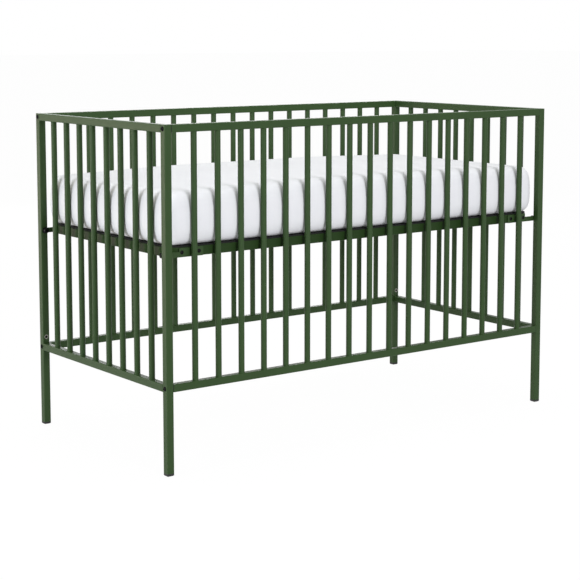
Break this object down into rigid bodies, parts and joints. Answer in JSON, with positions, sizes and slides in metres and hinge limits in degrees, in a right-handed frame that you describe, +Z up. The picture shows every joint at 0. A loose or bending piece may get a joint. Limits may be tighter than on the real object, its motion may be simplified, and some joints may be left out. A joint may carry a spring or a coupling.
{
  "type": "baby cot",
  "caption": "Free-standing baby cot: dark green steel tube frame with round bars on all sides, a height-adjustable slatted base and a thick white mattress.",
  "frame": {"origin": "middle of the four feet's footprint, on the floor", "axes": "+X along the cot's length (the picture's near long side faces -Y and its near short end faces -X), +Y across the cot away from that side, +Z up"},
  "size_m": [1.2682, 0.64, 0.842],
  "materials": {
    "frame_paint": "satin",
    "black_nylon": "matte",
    "black_rubber": "matte",
    "blackened_steel": "satin",
    "zinc_inserts": "satin",
    "slat_wood": "satin",
    "mattress_cover": "matte"
  },
  "bodies": {
    "cot_frame": {"post_front_left": "frame_paint", "post_back_left": "frame_paint", "post_front_right": "frame_paint", "post_back_right": "frame_paint", "post_caps": "frame_paint", "foot_plugs": "black_nylon", "left_top_rail": "frame_paint", "left_bottom_rail": "frame_paint", "right_top_rail": "frame_paint", "right_bottom_rail": "frame_paint", "left_end_bars": "frame_paint", "right_end_bars": "frame_paint", "front_top_rail": "frame_paint", "front_bottom_rail": "frame_paint", "back_top_rail": "frame_paint", "back_bottom_rail": "frame_paint", "front_bars": "frame_paint", "back_bars": "frame_paint", "rail_end_plugs": "black_nylon", "panel_bolts": "blackened_steel", "base_inserts": "zinc_inserts"},
    "mattress_base": {"base_front_rail": "frame_paint", "base_back_rail": "frame_paint", "base_left_rail": "frame_paint", "base_right_rail": "frame_paint", "base_lugs": "frame_paint", "lug_rivets": "blackened_steel", "base_bolts": "blackened_steel", "base_washers": "blackened_steel", "base_edge_strip": "black_rubber", "slat_holders": "black_nylon", "slats": "slat_wood"},
    "mattress": {"mattress": "mattress_cover"}
  },
  "joints": [
    {"name": "base_height", "type": "slide", "parent": "cot_frame", "child": "mattress_base", "axis": [0, 0, 1], "range_m": [-0.29, 0]},
    {"name": "mattress_lift", "type": "slide", "parent": "mattress_base", "child": "mattress", "axis": [0, 0, 1], "range_m": [0, 0.6]}
  ]
}
